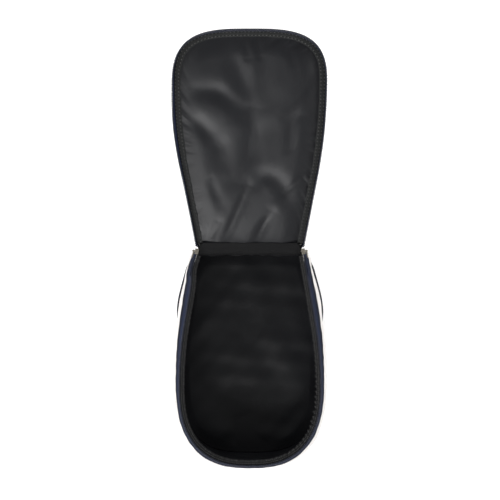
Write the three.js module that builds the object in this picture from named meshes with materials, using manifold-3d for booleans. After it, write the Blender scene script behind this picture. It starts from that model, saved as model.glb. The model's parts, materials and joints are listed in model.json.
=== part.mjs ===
// A zip-around shoe bag, lying open on its back panel. Millimetres, +Z up.
// The hinge runs along X. The body reaches from it towards -Y and the lid towards +Y.
// The origin is the centre of the footprint of the whole open bag, on the surface it lies on.
import * as THREE from 'three';
import { mergeVertices } from 'three/addons/utils/BufferGeometryUtils.js';
import Module from 'manifold-3d';

const wasm = await Module();
wasm.setup();

// ---- driving dimensions -------------------------------------------------------------------

const HINGE_HEIGHT = 125;
const LID_REST_ANGLE = THREE.MathUtils.degToRad(18);
const GAP = 0.3;
const SEAM = 0.015;

// Each outline is seen from above, with u measured from the hinge line to the curved end:
// half width `base` at the hinge, growing by `slope` per mm as far as `straight`, levelling
// out at `widest`, and closed by a superellipse of power `square` that ends at `length`.
const BACK = { base: 88, slope: 0.28, straight: 0, widest: 198, length: 332, square: 3, corner: 15 };
const WAIST = { base: 88.5, slope: 0.285, straight: 0, widest: 195, length: 335, square: 2.8, corner: 15 };
const RIM = { base: 85.5, slope: 0.23, straight: 40, widest: 195, length: 330, square: 2.6, corner: 12 };
const ZIP = { base: 80, slope: 0.17, straight: 110, widest: 205, length: 325, square: 2.5, corner: 5 };
const LID = { base: 80, slope: 0.17, straight: 110, widest: 240, length: 324.5, square: 3.2, corner: 5 };

const WAIST_HEIGHT = 80;
const RIM_HEIGHT = 113;
const TAPE_BEND_HEIGHT = 119;
const TAPE_EDGE_HEIGHT = 122.3;
const ZIP_CLEARANCE = 1;

const SHELL = 1.8;
const FOAM = 2.8;
const LINING = 0.8;
const TAPE = 0.8;
const COIL_OUT = 0.8;
const COIL_IN = 1.6;
const COIL_HEIGHT = 1.4;
const PIPING_RADIUS = 2;
const CORD_SIDES = 8;

const BACK_SHEET = 2;
const BOARD = 1.5;
const BACK_PADDING = 3;
const BASE_TOP = 118;
const BACK_SLACK = 0.1;

const LID_FLANGE = 10;
const LID_PADDING = 4;
const LID_PIPING_INSET = 0.8;
const LID_SHELL_INSET = 0.6;
const LID_SLACK = 0.4;
const BINDING = { outer: 1.2, inner: 9.5, thickness: 1.2 };
const RIM_BINDING = { top: 118.5, bottom: 113.5, outer: 1.4, inner: 7.5, thickness: 1 };
const HINGE_SPINE_HALF = 74;
const HINGE_LINING_HALF = 69;
const HINGE_STRIP = { thickness: 1, bottom: 98, lidSpan: [1.5, 13] };

// The side piping runs along the waist, then down to the back seam, through these [u, z] points.
const SIDE_PIPING_ROUTE = [
  [19, 92],
  [40, 88],
  [70, 84],
  [92, 76],
  [108, 58],
  [120, 34],
  [128, 12],
];
const SIDE_PIPING_RADIUS = 1.6;
const SIDE_PIPING_STEPS = 28;

const SLIDER = { length: 8.5, start: 2, wing: 1, slack: 0.5, reach: 5, top: 0.8, bridge: 0.7 };
const EAR = { halfWidth: 1.5, overlap: 0.2, beyondPin: 1, lower: [-4.6, -3.6], upper: [-0.9, 0.1] };
const PIN = { out: 4.6, radius: 0.7, length: 4.4, middle: -2.3, sides: 10 };
const LINK = { length: 10, halfWidth: 0.8, hole: 1.1, ring: 1.9, bottom: -3.3, height: 2.1, arcSteps: 12 };
const TAB = { length: 28, thickness: 2.4, bottom: -5.2, top: 0.6 };

// The handle hangs in a bow from its ends, through these shares of its half span and its drop.
const HANDLE = { halfSpan: 44, top: 40, bottom: 14, endReach: 337.2, gripReach: 341 };
const BOW = [
  [1, 0],
  [1, 0.35],
  [0.9, 0.72],
  [0.66, 0.93],
  [0.33, 1],
];
const STRAP = { radius: 3, steps: 40 };
const GRIP = { radius: 5, hole: 3.8, share: 0.5, sides: 12, steps: 2 };
const PATCH = { width: 24, height: 32, thickness: 1.6, middle: 42, standOff: 1.5 };

const BASE_STEPS = 2;
const CORNER_STEPS = 3;
const SIDE_STEPS = 7;
const END_STEPS = 9;
const CORNER = BASE_STEPS + CORNER_STEPS;
const SHOULDER = CORNER + SIDE_STEPS + 1;
const HALF = CORNER + SIDE_STEPS + END_STEPS;
const POINTS = 2 * HALF;

// ---- materials ----------------------------------------------------------------------------

const finish = (color, roughness, metalness = 0) =>
  new THREE.MeshStandardMaterial({ color, roughness, metalness });

const LOOK = {
  leatherette: finish(0xf0ebe8, 0.5),
  navy: finish(0x232a40, 0.75),
  satin: finish(0x1c1c1f, 0.4),
  grosgrain: finish(0x33343a, 0.8),
  board: finish(0x2a2a2a, 0.6),
  foam: finish(0x8a8a88, 0.9),
  nickel: finish(0xcfc8b8, 0.3, 1),
};

// ---- outlines -----------------------------------------------------------------------------

function halfWidth(u, o) {
  const straightWidth = o.base + o.slope * Math.min(u, o.widest);
  if (u <= o.straight) return straightWidth;
  const past = Math.min(u, o.widest) - o.straight;
  return straightWidth - (o.slope * past * past) / (2 * (o.widest - o.straight));
}

/** Points of the right half of an outline as [x, u], from the middle of the hinge edge to the tip. */
function halfOutline(o) {
  const points = [];
  const cornerX = halfWidth(o.corner, o) - o.corner;
  for (let k = 0; k < BASE_STEPS; k++) points.push([(cornerX * k) / BASE_STEPS, 0]);
  for (let k = 0; k < CORNER_STEPS; k++) {
    const turn = (k / CORNER_STEPS) * (Math.PI / 2);
    points.push([cornerX + o.corner * Math.sin(turn), o.corner * (1 - Math.cos(turn))]);
  }
  for (let k = 0; k < SIDE_STEPS; k++) {
    const u = o.corner + ((o.widest - o.corner) * k) / SIDE_STEPS;
    points.push([halfWidth(u, o), u]);
  }
  for (let k = 0; k <= END_STEPS; k++) {
    const turn = (k / END_STEPS) * (Math.PI / 2);
    const x = halfWidth(o.widest, o) * Math.cos(turn) ** (2 / o.square);
    points.push([x, o.widest + (o.length - o.widest) * Math.sin(turn) ** (2 / o.square)]);
  }
  points[HALF][0] = 0;
  return points;
}

/** A whole outline moved inwards by `inset`, as Vector2 points. Its first point is mid-hinge. */
function ring(o, inset = 0) {
  const right = halfOutline(o);
  const left = right.slice(1, HALF).reverse().map(([x, u]) => [-x, u]);
  const loop = [...right, ...left].map(([x, u]) => new THREE.Vector2(x, u));
  return loop.map((point, i) => {
    const before = loop[(i + POINTS - 1) % POINTS];
    const after = loop[(i + 1) % POINTS];
    const a = point.clone().sub(before).normalize();
    const b = after.clone().sub(point).normalize();
    const inward = new THREE.Vector2(-a.y - b.y, a.x + b.x).normalize();
    const normal = new THREE.Vector2(-a.y, a.x);
    return point.clone().addScaledVector(inward, inset / inward.dot(normal));
  });
}

const BODY_LEVELS = [
  [0, BACK],
  [WAIST_HEIGHT, WAIST],
  [RIM_HEIGHT, RIM],
  [TAPE_BEND_HEIGHT, ZIP],
  [HINGE_HEIGHT, ZIP],
];

/** The body's outline at a height. */
function bodyOutline(z) {
  const upper = Math.max(1, BODY_LEVELS.findIndex(([height]) => height >= z));
  const [low, from] = BODY_LEVELS[upper - 1];
  const [high, to] = BODY_LEVELS[upper];
  const share = (z - low) / (high - low);
  const mixed = {};
  for (const key of Object.keys(from)) mixed[key] = THREE.MathUtils.lerp(from[key], to[key], share);
  return mixed;
}

const lidOutline = () => LID;

// ---- solids -------------------------------------------------------------------------------

function solidFrom(positions, indices) {
  let volume = 0;
  const corner = (i) => new THREE.Vector3().fromArray(positions, 3 * i);
  for (let i = 0; i < indices.length; i += 3) {
    const [a, b, c] = indices.slice(i, i + 3).map(corner);
    volume += a.dot(b.cross(c));
  }
  const geometry = new THREE.BufferGeometry();
  geometry.setAttribute('position', new THREE.Float32BufferAttribute(positions, 3));
  geometry.setIndex(volume < 0 ? indices.slice().reverse() : indices);
  geometry.computeVertexNormals();
  return geometry;
}

/**
 * Carries a cross-section round an outline. The section is a list of [inset, z] corners, up one
 * side and back down the other. `from` and `to` count ring points, and may fall between two.
 */
function sweep(section, outlineAt, side, from, to) {
  const closed = from === undefined;
  const rings = section.map(([inset, z]) => ring(outlineAt(z), inset));
  const stops = [];
  if (closed) for (let i = 0; i < POINTS; i++) stops.push(i);
  else {
    stops.push(from);
    for (let i = Math.floor(from) + 1; i < to; i++) stops.push(i);
    stops.push(to);
  }
  const positions = [];
  for (const stop of stops) {
    const i = Math.floor(stop);
    rings.forEach((loop, j) => {
      const here = loop[(i + POINTS) % POINTS];
      const point = here.clone().lerp(loop[(i + 1 + POINTS) % POINTS], stop - i);
      positions.push(point.x, side * point.y, section[j][1]);
    });
  }
  const size = section.length;
  const at = (stop, j) => (stop % stops.length) * size + (j % size);
  const indices = [];
  const quad = (a, b, c, d) => indices.push(a, b, c, a, c, d);
  const spans = closed ? stops.length : stops.length - 1;
  for (let s = 0; s < spans; s++) {
    for (let j = 0; j < size; j++) quad(at(s, j), at(s + 1, j), at(s + 1, j + 1), at(s, j + 1));
  }
  if (!closed) {
    const last = stops.length - 1;
    for (let j = 0; j < size / 2 - 1; j++) {
      const facing = size - 1 - j;
      quad(at(0, j), at(0, j + 1), at(0, facing - 1), at(0, facing));
      quad(at(last, facing), at(last, facing - 1), at(last, j + 1), at(last, j));
    }
  }
  return solidFrom(positions, indices);
}

/** Section of a wall between two insets, through the given heights. */
function wallSection(heights, outer, inner) {
  const up = heights.map((z) => [outer, z]);
  const down = heights.map((z) => [inner, z]).reverse();
  return [...up, ...down];
}

/** Section of a piping cord. */
function cordSection(inset, z, radius) {
  return Array.from({ length: CORD_SIDES }, (_, k) => {
    const turn = (k / CORD_SIDES) * 2 * Math.PI;
    return [inset + radius * Math.cos(turn), z + radius * Math.sin(turn)];
  });
}

function plate(o, inset, side, bottom, thickness) {
  const shape = new THREE.Shape(ring(o, inset).map((p) => new THREE.Vector2(p.x, side * p.y)));
  const geometry = new THREE.ExtrudeGeometry(shape, { depth: thickness, bevelEnabled: false, steps: 1 });
  return geometry.translate(0, 0, bottom);
}

function block([x0, x1], [y0, y1], [z0, z1]) {
  const geometry = new THREE.BoxGeometry(x1 - x0, y1 - y0, z1 - z0);
  return geometry.translate((x0 + x1) / 2, (y0 + y1) / 2, (z0 + z1) / 2);
}

function tube(points, radius, sides, steps, hole = 0) {
  const circle = new THREE.Shape();
  circle.absarc(0, 0, radius, 0, 2 * Math.PI);
  if (hole) circle.holes.push(new THREE.Path().absarc(0, 0, hole, 0, 2 * Math.PI));
  const path = new THREE.CatmullRomCurve3(points);
  const curveSegments = sides / 2;
  return new THREE.ExtrudeGeometry(circle, { steps, extrudePath: path, curveSegments, bevelEnabled: false });
}

function toManifold(geometry) {
  const bare = geometry.clone();
  bare.deleteAttribute('normal');
  bare.deleteAttribute('uv');
  const merged = mergeVertices(bare);
  const vertProperties = new Float32Array(merged.attributes.position.array);
  const triVerts = new Uint32Array(merged.index.array);
  return new wasm.Manifold(new wasm.Mesh({ numProp: 3, vertProperties, triVerts }));
}

function union(...geometries) {
  const joined = geometries.map(toManifold).reduce((a, b) => a.add(b));
  const mesh = joined.getMesh();
  const geometry = new THREE.BufferGeometry();
  geometry.setAttribute('position', new THREE.Float32BufferAttribute(mesh.vertProperties, 3));
  geometry.setIndex(Array.from(mesh.triVerts));
  geometry.computeVertexNormals();
  return geometry;
}

function add(group, name, geometry, material) {
  const mesh = new THREE.Mesh(geometry, material);
  mesh.name = name;
  group.add(mesh);
  return mesh;
}

// ---- body ---------------------------------------------------------------------------------

const bodySweep = (section, from, to) => sweep(section, bodyOutline, -1, from, to);

/** The line of piping on one white side. */
function sidePiping(side) {
  const standOff = SIDE_PIPING_RADIUS + 2 * GAP;
  const points = SIDE_PIPING_ROUTE.map(([u, z]) => {
    const x = halfWidth(u, bodyOutline(z)) + standOff;
    return new THREE.Vector3(side * x, -u, z);
  });
  return tube(points, SIDE_PIPING_RADIUS, CORD_SIDES, SIDE_PIPING_STEPS);
}

/** A patch on the curved end that one end of the handle is sewn to. */
function handlePatch(group, name, side) {
  const { width, height, thickness, middle, standOff } = PATCH;
  const mesh = add(group, name, new THREE.BoxGeometry(width, thickness, height), LOOK.navy);
  const outline = bodyOutline(middle);
  const widest = halfWidth(outline.widest, outline);
  const reachAt = (x) => {
    const rise = (1 - (x / widest) ** outline.square) ** (1 / outline.square);
    return outline.widest + (outline.length - outline.widest) * rise;
  };
  const inner = reachAt(HANDLE.halfSpan - width / 2);
  const outer = reachAt(HANDLE.halfSpan + width / 2);
  const lean = Math.atan2(inner - outer, width);
  const reach = (inner + outer) / 2 + thickness / 2 + standOff;
  mesh.position.set(side * HANDLE.halfSpan, -reach, middle);
  mesh.rotation.z = side * lean;
}

function buildBody() {
  const body = new THREE.Group();
  const heightsOf = (bottom, top) => [bottom, WAIST_HEIGHT, top];
  const boardBottom = BACK_SHEET + GAP;
  const foamBottom = boardBottom + BOARD + GAP;
  const liningBottom = foamBottom + BACK_PADDING + GAP;
  const foamInset = SHELL + GAP;
  const liningInset = foamInset + FOAM + GAP;
  const pipingHeight = BACK_SHEET + GAP + PIPING_RADIUS;
  const wallBottom = pipingHeight + PIPING_RADIUS + GAP;
  const wallLiningBottom = liningBottom + LINING + GAP;
  const inside = liningInset + BACK_SLACK;

  add(body, 'back_panel', plate(BACK, 0, -1, 0, BACK_SHEET), LOOK.navy);
  add(body, 'back_board', plate(BACK, inside, -1, boardBottom, BOARD), LOOK.board);
  add(body, 'back_foam', plate(BACK, inside, -1, foamBottom, BACK_PADDING), LOOK.foam);
  add(body, 'back_lining', plate(BACK, inside, -1, liningBottom, LINING), LOOK.satin);
  const pipingCord = cordSection(0, pipingHeight, PIPING_RADIUS);
  add(body, 'back_piping', sweep(pipingCord, () => BACK, -1), LOOK.navy);

  const shell = wallSection(heightsOf(wallBottom, RIM_HEIGHT), 0, SHELL);
  const baseShell = wallSection([wallBottom, WAIST_HEIGHT, RIM_HEIGHT, BASE_TOP], 0, SHELL);
  const sideRange = [CORNER + SEAM, SHOULDER - SEAM];
  const mirrored = sideRange.map((stop) => POINTS - stop).reverse();
  add(body, 'base_panel', bodySweep(baseShell, -CORNER + SEAM, CORNER - SEAM), LOOK.leatherette);
  add(body, 'side_panel_right', bodySweep(shell, ...sideRange), LOOK.leatherette);
  add(body, 'side_panel_left', bodySweep(shell, ...mirrored), LOOK.leatherette);
  const endPanel = bodySweep(shell, SHOULDER + SEAM, POINTS - SHOULDER - SEAM);
  add(body, 'end_panel', endPanel, LOOK.leatherette);

  const padding = wallSection(heightsOf(wallBottom, RIM_HEIGHT), foamInset, foamInset + FOAM);
  add(body, 'wall_foam', bodySweep(padding, CORNER + SEAM, POINTS - CORNER - SEAM), LOOK.foam);
  const stiffener = wallSection([wallBottom, WAIST_HEIGHT, RIM_HEIGHT], foamInset, foamInset + BOARD);
  add(body, 'base_board', bodySweep(stiffener, -CORNER + SEAM, CORNER - SEAM), LOOK.board);
  const lining = wallSection(heightsOf(wallLiningBottom, RIM_HEIGHT), liningInset, liningInset + LINING);
  add(body, 'wall_lining', bodySweep(lining), LOOK.satin);

  add(body, 'side_piping_right', sidePiping(1), LOOK.navy);
  add(body, 'side_piping_left', sidePiping(-1), LOOK.navy);

  const tapeHeights = [RIM_HEIGHT + GAP, TAPE_BEND_HEIGHT, TAPE_EDGE_HEIGHT];
  const zipRange = [CORNER, POINTS - CORNER];
  add(body, 'body_zip_tape', bodySweep(wallSection(tapeHeights, 0, TAPE), ...zipRange), LOOK.navy);
  const coilHeights = [TAPE_EDGE_HEIGHT + GAP, HINGE_HEIGHT - ZIP_CLEARANCE];
  const coil = bodySweep(wallSection(coilHeights, -COIL_OUT, COIL_IN), ...zipRange);
  add(body, 'body_zip_coil', coil, LOOK.navy);
  const { top, bottom, outer, inner, thickness } = RIM_BINDING;
  const binding = [
    [outer, top],
    [outer, top - thickness],
    [inner, bottom - thickness],
    [inner, bottom],
  ];
  const bindingLoop = sweep(binding, () => ZIP, -1, CORNER + SEAM, POINTS - CORNER - SEAM);
  add(body, 'rim_binding', bindingLoop, LOOK.grosgrain);

  const innerFace = -(liningInset + LINING + GAP);
  const strip = (half, y) => {
    const depth = [y, y + HINGE_STRIP.thickness];
    return block([-half, half], depth, [HINGE_STRIP.bottom, BASE_TOP]);
  };
  const liningStrip = strip(HINGE_LINING_HALF, innerFace - HINGE_STRIP.thickness);
  add(body, 'hinge_lining_body', liningStrip, LOOK.satin);
  add(body, 'hinge_spine_body', strip(HINGE_SPINE_HALF, GAP), LOOK.navy);

  handlePatch(body, 'handle_patch_right', 1);
  handlePatch(body, 'handle_patch_left', -1);
  return body;
}

// ---- carry handle, hanging from its patches -------------------------------------------------

function buildHandle() {
  const handle = new THREE.Group();
  const { halfSpan, top, bottom, endReach, gripReach } = HANDLE;
  const at = (across, down) => {
    const reach = THREE.MathUtils.lerp(endReach, gripReach, down);
    const z = THREE.MathUtils.lerp(top, bottom, down);
    return new THREE.Vector3(across * halfSpan, -reach, z);
  };
  const right = BOW.map(([across, down]) => at(across, down));
  const left = BOW.map(([across, down]) => at(-across, down)).reverse();
  const strap = tube([...right, ...left], STRAP.radius, CORD_SIDES, STRAP.steps);
  add(handle, 'handle_strap', strap, LOOK.navy);
  const gripPath = [at(GRIP.share, 1), at(0, 1), at(-GRIP.share, 1)];
  const grip = tube(gripPath, GRIP.radius, GRIP.sides, GRIP.steps, GRIP.hole);
  add(handle, 'handle_grip', grip, LOOK.leatherette);
  return handle;
}

// ---- lid, in its own frame: hinge on X, panel along +Y, lining up ---------------------------

const lidSweep = (section, from, to) => sweep(section, lidOutline, 1, from, to);

function buildLid() {
  const lid = new THREE.Group();
  const zipRange = [CORNER, POINTS - CORNER];
  const edge = -ZIP_CLEARANCE;
  const coilBottom = edge - COIL_HEIGHT;
  const tapeTop = coilBottom - GAP;
  const bindingTop = -LID_FLANGE;
  const liningTop = bindingTop - BINDING.thickness - GAP;
  const foamTop = liningTop - LINING - GAP;
  const foamBottom = foamTop - LID_PADDING;
  const shellTop = foamBottom - GAP;
  const pipingHeight = shellTop + GAP + PIPING_RADIUS;
  const tapeBottom = pipingHeight + PIPING_RADIUS + GAP;

  const coil = wallSection([coilBottom, edge], -COIL_OUT, COIL_IN);
  add(lid, 'lid_zip_coil', lidSweep(coil, ...zipRange), LOOK.navy);
  const tape = wallSection([tapeBottom, tapeTop], 0, TAPE);
  add(lid, 'lid_zip_tape', lidSweep(tape, ...zipRange), LOOK.navy);
  const cord = cordSection(LID_PIPING_INSET, pipingHeight, PIPING_RADIUS);
  add(lid, 'lid_piping', lidSweep(cord), LOOK.navy);
  const bindingHeights = [bindingTop - BINDING.thickness, bindingTop];
  const binding = wallSection(bindingHeights, BINDING.outer, BINDING.inner);
  add(lid, 'lid_binding', lidSweep(binding, CORNER + SEAM, POINTS - CORNER - SEAM), LOOK.grosgrain);

  const inset = LID_PIPING_INSET + PIPING_RADIUS + LID_SLACK;
  add(lid, 'lid_lining', plate(LID, inset, 1, liningTop - LINING, LINING), LOOK.satin);
  add(lid, 'lid_foam', plate(LID, inset, 1, foamBottom, LID_PADDING), LOOK.foam);
  add(lid, 'lid_shell', plate(LID, LID_SHELL_INSET, 1, shellTop - SHELL, SHELL), LOOK.leatherette);

  const { thickness, lidSpan } = HINGE_STRIP;
  const strip = (half, top) => block([-half, half], lidSpan, [top - thickness, top]);
  add(lid, 'hinge_lining_lid', strip(HINGE_LINING_HALF, bindingTop), LOOK.satin);
  add(lid, 'hinge_spine_lid', strip(HINGE_SPINE_HALF, shellTop - SHELL - GAP), LOOK.navy);
  return lid;
}

// ---- sliders and pullers --------------------------------------------------------------------

/** One slider in its own frame: X outwards, Y back towards the hinge, Z up from the zip plane. */
function buildSlider(side) {
  const group = new THREE.Group();
  const { length, wing, slack, reach, top, bridge } = SLIDER;
  const outerFace = COIL_OUT + slack;
  const innerFace = -(COIL_IN + slack);
  const profile = new THREE.Shape();
  profile.moveTo(side * (outerFace + wing), -reach);
  profile.lineTo(side * (outerFace + wing), top);
  profile.lineTo(side * (innerFace - wing), top);
  profile.lineTo(side * (innerFace - wing), -reach);
  profile.lineTo(side * innerFace, -reach);
  profile.lineTo(side * innerFace, -bridge);
  profile.lineTo(side * outerFace, -bridge);
  profile.lineTo(side * outerFace, -reach);
  const channel = new THREE.ExtrudeGeometry(profile, { depth: length, bevelEnabled: false });
  channel.rotateX(Math.PI / 2).translate(0, length / 2, 0);

  const [earNear, earFar] = [outerFace + wing - EAR.overlap, PIN.out + EAR.beyondPin];
  const earSpan = [side * earNear, side * earFar].sort((a, b) => a - b);
  const earWidth = [-EAR.halfWidth, EAR.halfWidth];
  const ears = [EAR.lower, EAR.upper].map((heights) => block(earSpan, earWidth, heights));
  const pin = new THREE.CylinderGeometry(PIN.radius, PIN.radius, PIN.length, PIN.sides);
  pin.rotateX(Math.PI / 2).translate(side * PIN.out, 0, PIN.middle);
  const sideName = side > 0 ? 'right' : 'left';
  add(group, `zip_slider_${sideName}`, union(channel, ...ears, pin), LOOK.nickel);

  const eye = new THREE.Shape();
  const half = LINK.halfWidth;
  const tangent = Math.sqrt(LINK.ring ** 2 - half ** 2);
  const turn = Math.atan2(-tangent, half);
  eye.moveTo(half, -LINK.length);
  eye.lineTo(half, -tangent);
  eye.absarc(0, 0, LINK.ring, turn, Math.PI - turn, false);
  eye.lineTo(-half, -LINK.length);
  eye.holes.push(new THREE.Path().absarc(0, 0, LINK.hole, 0, 2 * Math.PI));
  const link = new THREE.ExtrudeGeometry(eye, {
    depth: LINK.height,
    bevelEnabled: false,
    curveSegments: LINK.arcSteps,
  });
  link.translate(side * PIN.out, 0, LINK.bottom);
  add(group, `pull_link_${sideName}`, link, LOOK.nickel);
  const tabStart = -LINK.length - GAP;
  const tabSpan = [side * PIN.out - TAB.thickness / 2, side * PIN.out + TAB.thickness / 2];
  const tab = block(tabSpan, [tabStart - TAB.length, tabStart], [TAB.bottom, TAB.top]);
  add(group, `pull_tab_${sideName}`, tab, LOOK.navy);

  const x = halfWidth(SLIDER.start, ZIP);
  group.position.set(side * x, -SLIDER.start, HINGE_HEIGHT);
  group.rotation.z = side * Math.atan(ZIP.slope);
  return group;
}

// ---- the whole bag ----------------------------------------------------------------------------

const bag = new THREE.Group();
const lid = buildLid();
lid.position.z = HINGE_HEIGHT;
lid.rotation.x = LID_REST_ANGLE;
bag.add(buildBody(), buildHandle(), lid, buildSlider(1), buildSlider(-1));
const extent = new THREE.Box3().setFromObject(bag, true);
bag.position.y = -(extent.min.y + extent.max.y) / 2;

export default bag;
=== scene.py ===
"""The looks of an open, zip-around shoe bag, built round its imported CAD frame.

Shapes are worked out in millimetres and written to Blender in metres. Two frames are used:
body points are (x, u, z), where u runs from the hinge line to the curved end of the body,
and lid points are (x, s, h), where s runs from the hinge line to the lid's far edge and h is
the height above the hinge plane of the lid, on its lining side.
"""

import json
import math

import bpy
import numpy as np
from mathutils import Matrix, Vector


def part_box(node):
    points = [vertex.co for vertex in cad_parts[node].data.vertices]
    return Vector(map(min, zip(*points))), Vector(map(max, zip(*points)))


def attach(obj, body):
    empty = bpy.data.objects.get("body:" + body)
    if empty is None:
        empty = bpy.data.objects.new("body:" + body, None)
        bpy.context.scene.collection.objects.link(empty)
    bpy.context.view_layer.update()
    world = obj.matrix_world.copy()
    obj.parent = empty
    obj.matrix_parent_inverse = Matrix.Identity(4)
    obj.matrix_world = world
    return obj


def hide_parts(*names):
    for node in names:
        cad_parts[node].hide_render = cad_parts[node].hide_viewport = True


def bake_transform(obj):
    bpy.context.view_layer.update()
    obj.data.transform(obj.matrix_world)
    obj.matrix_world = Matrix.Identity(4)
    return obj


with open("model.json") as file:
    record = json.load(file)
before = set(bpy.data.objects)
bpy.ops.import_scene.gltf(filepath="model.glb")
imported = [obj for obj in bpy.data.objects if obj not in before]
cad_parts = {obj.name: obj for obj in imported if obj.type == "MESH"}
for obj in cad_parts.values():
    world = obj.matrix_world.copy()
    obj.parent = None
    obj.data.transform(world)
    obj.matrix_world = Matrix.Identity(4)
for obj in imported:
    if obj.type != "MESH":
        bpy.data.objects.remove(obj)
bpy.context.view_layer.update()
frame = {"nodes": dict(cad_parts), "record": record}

# ---- driving dimensions ---------------------------------------------------------------------

MM = 0.001
JOINTS = {joint["name"]: joint for joint in frame["record"]["behaviour"]["joints"]}
HINGE = np.array(JOINTS["lid_hinge"]["pos_m"]) / MM
LID_TILT = math.radians(180 - JOINTS["lid_hinge"]["range_deg"][1])


def low(node, axis):
    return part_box(node)[0][axis] / MM


def high(node, axis):
    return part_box(node)[1][axis] / MM


# The outlines follow the same law as the CAD's: half width `base` at the hinge, growing by
# `slope` as far as `straight`, levelling out at `widest`, then a superellipse to `length`.
BACK = dict(base=88, slope=0.28, straight=0, widest=198, length=332, square=3, corner=15)
WAIST = dict(base=88.5, slope=0.285, straight=0, widest=195, length=335, square=2.8, corner=15)
RIM = dict(base=85.5, slope=0.23, straight=40, widest=195, length=330, square=2.6, corner=12)
ZIP = dict(base=80, slope=0.17, straight=110, widest=205, length=325, square=2.5, corner=5)
LID = dict(base=80, slope=0.17, straight=110, widest=240, length=324.5, square=3.2, corner=5)

WAIST_Z = 80
RIM_Z = high("side_panel_right", 2)
BEND_Z = 119
TAPE_Z = high("body_zip_tape", 2)
COIL_Z = high("body_zip_coil", 2)
WALL_Z = low("side_panel_right", 2)
FLOOR_LINING_Z = high("back_lining", 2)

LID_EDGE = -1.0
LID_TAPE = (-12.2, -2.5)
LID_PIPING_H = -14.7
LID_FOAM_H = -14.7
LID_BINDING_H = -10.6
LID_LINING_H = -11.7
LID_SHELL_H = -18.0

SKIN = 1.8
FOAM_INSET = 3.5
LINING = 0.8
LINING_INSET = 5.6
TAPE = 0.8
TAPE_INSET = 0.4
PIPING_RADIUS = 2.05
STRAP_RADIUS = 3
PANEL_CENTRE = np.array([0, 170.0])
STATIONS = 960
ARC_STEP = 1.055


# ---- outlines ---------------------------------------------------------------------------------

def half_width(u, o):
    reached = np.minimum(u, o["widest"])
    past = np.clip(reached - o["straight"], 0, None)
    return o["base"] + o["slope"] * (reached - past**2 / (2 * (o["widest"] - o["straight"])))


def outline(o):
    """Evenly spaced points round an outline and its inward normals; station 0 is mid-hinge."""
    corner = o["corner"]
    corner_x = half_width(corner, o) - corner
    edge_x = np.linspace(0, corner_x, 60, endpoint=False)
    turn = np.linspace(0, math.pi / 2, 30, endpoint=False)
    side_u = np.linspace(corner, o["widest"], 200, endpoint=False)
    sweep_angle = np.linspace(0, math.pi / 2, 400)
    tip = o["length"] - o["widest"]
    power = 2 / o["square"]
    right = np.vstack([
        np.column_stack([edge_x, 0 * edge_x]),
        np.column_stack([corner_x + corner * np.sin(turn), corner * (1 - np.cos(turn))]),
        np.column_stack([half_width(side_u, o), side_u]),
        np.column_stack([
            half_width(o["widest"], o) * np.cos(sweep_angle).clip(0) ** power,
            o["widest"] + tip * np.sin(sweep_angle) ** power,
        ]),
    ])
    loop = np.vstack([right, right[-2:0:-1] * (-1, 1), right[:1]])
    arc = np.concatenate([[0], np.cumsum(np.linalg.norm(np.diff(loop, axis=0), axis=1))])
    even = np.linspace(0, arc[-1], STATIONS, endpoint=False)
    points = np.column_stack([np.interp(even, arc, loop[:, k]) for k in (0, 1)])
    tangent = np.roll(points, -2, axis=0) - np.roll(points, 2, axis=0)
    tangent /= np.linalg.norm(tangent, axis=1, keepdims=True)
    return points, np.column_stack([-tangent[:, 1], tangent[:, 0]])


OUTLINES = {name: outline(o) for name, o in
            dict(back=BACK, waist=WAIST, rim=RIM, zip=ZIP, lid=LID).items()}


def station(name, u):
    """The station on the right-hand side of an outline where it has come as far as u."""
    points = OUTLINES[name][0][: STATIONS // 2]
    past_corner = points[:, 0] > 0.5 * points[:, 0].max()
    return int(np.argmax((points[:, 1] >= u) & past_corner))


def body_world(x, u, z):
    x, u, z = np.broadcast_arrays(x, u, z)
    return np.stack([x, HINGE[1] - u, z], axis=-1)


def slumped(flat, z):
    """The left wall's rim bulges a little near the hinge, as a soft bag's does."""
    height = np.clip((z - 60) / 40, 0, 1)
    bulge = 2.8 * np.exp(-(((flat[..., 1] - 30) / 17) ** 2)) * height * (flat[..., 0] < -40)
    return flat - np.stack([bulge, 0 * bulge], axis=-1)


def body_place(stations, inset, z):
    """World points, in mm, on the body's wall at each station, moved inwards by inset."""
    stations, inset, z = np.broadcast_arrays(stations, inset, z)
    lower = np.sin(np.clip(z / WAIST_Z, 0, 1) * math.pi / 2)
    middle = 1 - np.cos(np.clip((z - WAIST_Z) / (RIM_Z - WAIST_Z), 0, 1) * math.pi / 2)
    upper = np.clip((z - RIM_Z) / (BEND_Z - RIM_Z), 0, 1)
    weights = [1 - lower, lower * (1 - middle), middle * (1 - upper), upper]
    flat = np.zeros(stations.shape + (2,))
    normal = np.zeros(stations.shape + (2,))
    for weight, name in zip(weights, ("back", "waist", "rim", "zip")):
        points, normals = OUTLINES[name]
        flat += weight[..., None] * points[stations % STATIONS]
        normal += weight[..., None] * normals[stations % STATIONS]
    normal /= np.linalg.norm(normal, axis=-1, keepdims=True)
    flat = slumped(flat + inset[..., None] * normal, z)
    return body_world(flat[..., 0], flat[..., 1], z)


def body_place_zip(stations, inset, z):
    """Like body_place, but always on the zip line's outline, whatever the height."""
    stations, inset, z = np.broadcast_arrays(stations, inset, z)
    points, normals = OUTLINES["zip"]
    flat = slumped(points[stations % STATIONS] + inset[..., None] * normals[stations % STATIONS], z)
    return body_world(flat[..., 0], flat[..., 1], z)


def lid_world(x, s, h):
    x, s, h = np.broadcast_arrays(x, s, h)
    y = HINGE[1] + s * math.cos(LID_TILT) - h * math.sin(LID_TILT)
    z = HINGE[2] + s * math.sin(LID_TILT) + h * math.cos(LID_TILT)
    return np.stack([x, y, z], axis=-1)


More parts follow.
